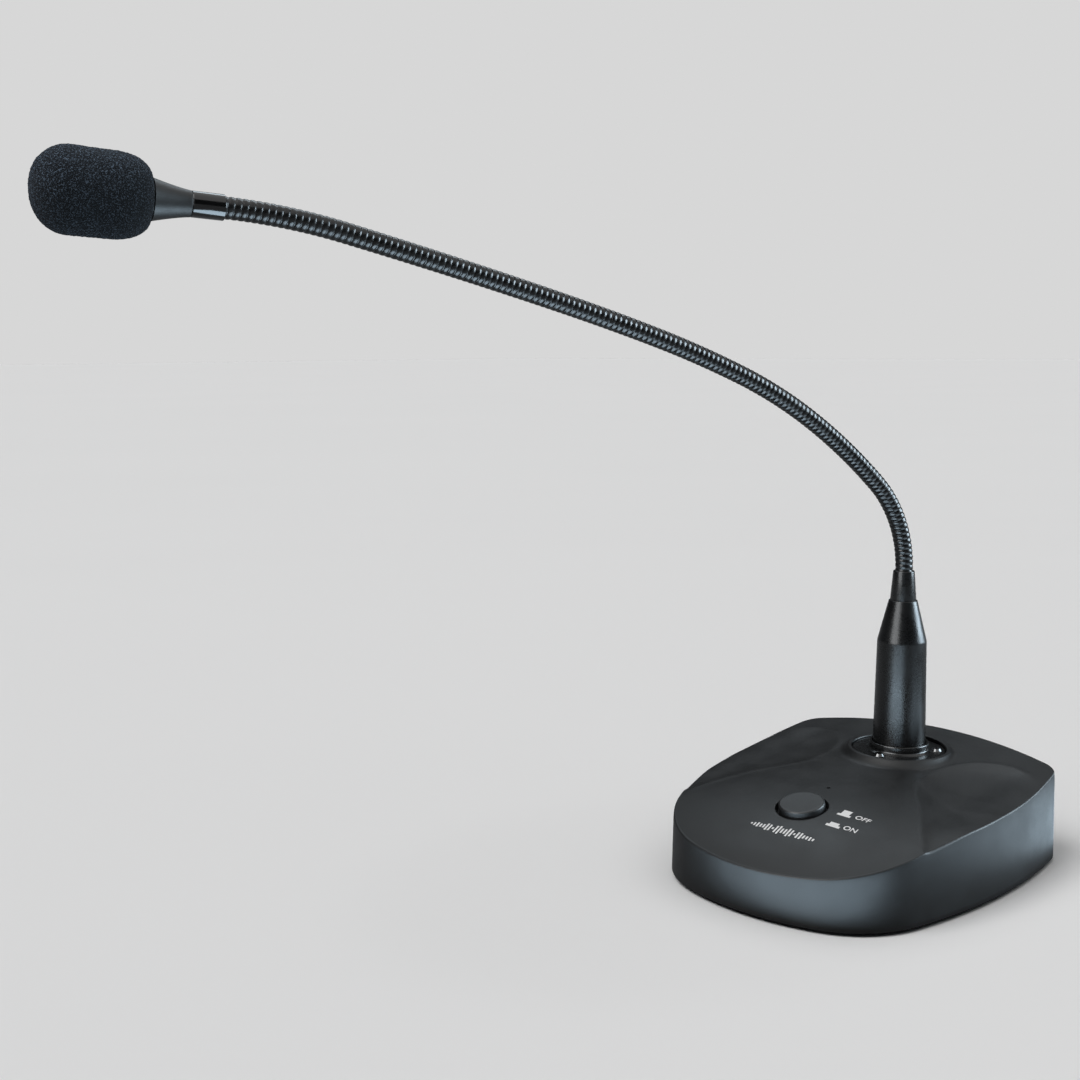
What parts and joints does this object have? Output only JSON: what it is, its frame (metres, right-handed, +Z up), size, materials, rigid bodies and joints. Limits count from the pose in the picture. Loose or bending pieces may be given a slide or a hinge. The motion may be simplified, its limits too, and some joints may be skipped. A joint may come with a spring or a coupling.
{
  "type": "gooseneck desk microphone",
  "caption": "Desk microphone with a weighted wedge base, push switch, plug-in stem, bendable gooseneck and a capsule under a foam windscreen.",
  "frame": {"origin": "on the table, under the middle of the base's plan outline", "axes": "+Z up, the low front of the base faces -Y, the stem stands near the back on +Y, and +X is the side with the switch legend"},
  "size_m": [0.1904, 0.3509, 0.2681],
  "materials": {
    "ballast_iron": "as cast, oiled",
    "board_laminate": "green solder mask",
    "boot_rubber": "satin",
    "button_plastic": "satin moulded ABS, charcoal",
    "cable_jacket": "matt PVC",
    "cell_steel": "printed steel can, no lettering",
    "component_plastic": "sleeved can",
    "contact_brass": "tinned brass",
    "foam": "open-cell foam, blue-black",
    "foot_rubber": "matt",
    "gloss_black": "polished black",
    "lead_jacket": "PVC hook-up wire",
    "led_lens": "diffused red lens",
    "neck_steel": "gloss black lacquer over steel conduit",
    "painted_steel": "black powder coat",
    "plated_screw": "black nickel",
    "resistor_body": "tan lacquer",
    "shell_plastic": "fine-grained moulded ABS, charcoal",
    "spring_steel": "nickel-plated spring wire",
    "transformer_iron": "laminated core with wound coil",
    "tray_plastic": "moulded ABS",
    "zinc_sleeve": "satin black lacquer"
  },
  "bodies": {
    "base": {"base_shell": "shell_plastic", "base_plate": "painted_steel", "rubber_foot_ring": "foot_rubber", "base_screws": "plated_screw", "ballast_block": "ballast_iron", "battery_box": "tray_plastic", "battery_cells": "cell_steel", "battery_springs": "spring_steel", "battery_contacts": "spring_steel", "circuit_board": "board_laminate", "board_screws": "plated_screw", "capacitors": "component_plastic", "resistors": "resistor_body", "output_transformer": "transformer_iron", "status_led": "led_lens", "switch_housing": "tray_plastic", "button_spring": "spring_steel", "output_jack_bushing": "spring_steel", "output_jack_body": "tray_plastic", "output_jack_nut": "spring_steel", "output_jack_contacts": "contact_brass", "stem_socket_flange": "gloss_black", "flange_screws": "plated_screw", "stem_socket_body": "tray_plastic", "stem_socket_contacts": "contact_brass", "battery_leads": "lead_jacket", "stem_leads": "cable_jacket", "output_leads": "cable_jacket"},
    "battery_door": {"battery_door": "tray_plastic"},
    "power_button": {"power_button": "button_plastic", "switch_plunger": "tray_plastic"},
    "stem": {"stem_sleeve": "zinc_sleeve", "stem_plug_insert": "tray_plastic", "stem_plug_pins": "contact_brass", "stem_set_screw": "plated_screw", "lower_ferrule": "gloss_black", "stem_cable": "cable_jacket"},
    "neck_1": {"neck_conduit_1": "neck_steel", "neck_cable_1": "cable_jacket"},
    "neck_2": {"neck_conduit_2": "neck_steel", "neck_cable_2": "cable_jacket"},
    "neck_3": {"neck_conduit_3": "neck_steel", "neck_cable_3": "cable_jacket"},
    "neck_4": {"neck_conduit_4": "neck_steel", "neck_cable_4": "cable_jacket"},
    "neck_5": {"neck_conduit_5": "neck_steel", "neck_cable_5": "cable_jacket"},
    "neck_6": {"neck_conduit_6": "neck_steel", "neck_cable_6": "cable_jacket"},
    "neck_7": {"neck_conduit_7": "neck_steel", "neck_cable_7": "cable_jacket"},
    "head": {"neck_conduit_8": "neck_steel", "neck_cable_8": "cable_jacket", "upper_ferrule": "gloss_black", "strain_boot": "boot_rubber", "capsule_housing": "zinc_sleeve", "capsule_grille": "painted_steel", "microphone_capsule": "spring_steel", "capsule_gasket": "foot_rubber"},
    "windscreen": {"foam_windscreen": "foam"}
  },
  "joints": [
    {"name": "battery_door_hinge", "type": "hinge", "parent": "base", "child": "battery_door", "pos_m": [0.0375, -0.0052, 0.0025], "axis": [-1, 0, 0], "range_deg": [0, 95]},
    {"name": "power_button_push", "type": "slide", "parent": "base", "child": "power_button", "axis": [0, 0.1959, -0.9806], "range_m": [0, 0.0025], "stiffness_N_per_m": 400, "springref_m": -0.001, "deforming": ["button_spring"]},
    {"name": "stem_unplug", "type": "slide", "parent": "base", "child": "stem", "axis": [0, 0, 1], "range_m": [0, 0.02]},
    {"name": "neck_bow_1", "type": "hinge", "parent": "stem", "child": "neck_1", "pos_m": [0, 0.0404, 0.1158], "axis": [0.9354, -0.3535, 0], "range_deg": [-20, 12]},
    {"name": "neck_sway_2", "type": "hinge", "parent": "neck_1", "child": "neck_2", "pos_m": [-0.00548, 0.02591, 0.15203], "axis": [-0.2442, -0.6463, -0.723], "range_deg": [-15, 15]},
    {"name": "neck_bow_3", "type": "hinge", "parent": "neck_2", "child": "neck_3", "pos_m": [-0.0166, -0.00354, 0.17744], "axis": [0.9354, -0.3535, 0], "range_deg": [-20, 12]},
    {"name": "neck_sway_4", "type": "hinge", "parent": "neck_3", "child": "neck_4", "pos_m": [-0.02915, -0.03675, 0.19679], "axis": [-0.1387, -0.367, -0.9198], "range_deg": [-15, 15]},
    {"name": "neck_bow_5", "type": "hinge", "parent": "neck_4", "child": "neck_5", "pos_m": [-0.04254, -0.07218, 0.2111], "axis": [0.9354, -0.3535, 0], "range_deg": [-20, 12]},
    {"name": "neck_sway_6", "type": "hinge", "parent": "neck_5", "child": "neck_6", "pos_m": [-0.05621, -0.10835, 0.22315], "axis": [-0.0992, -0.2625, -0.9598], "range_deg": [-15, 15]},
    {"name": "neck_bow_7", "type": "hinge", "parent": "neck_6", "child": "neck_7", "pos_m": [-0.06998, -0.1448, 0.23421], "axis": [0.9354, -0.3535, 0], "range_deg": [-20, 12]},
    {"name": "neck_sway_8", "type": "hinge", "parent": "neck_7", "child": "head", "pos_m": [-0.08381, -0.18139, 0.24469], "axis": [-0.0891, -0.2358, -0.9677], "range_deg": [-15, 15]},
    {"name": "windscreen_pull", "type": "slide", "parent": "head", "child": "windscreen", "axis": [-0.3525, -0.9328, 0.075], "range_m": [0, 0.034]}
  ]
}
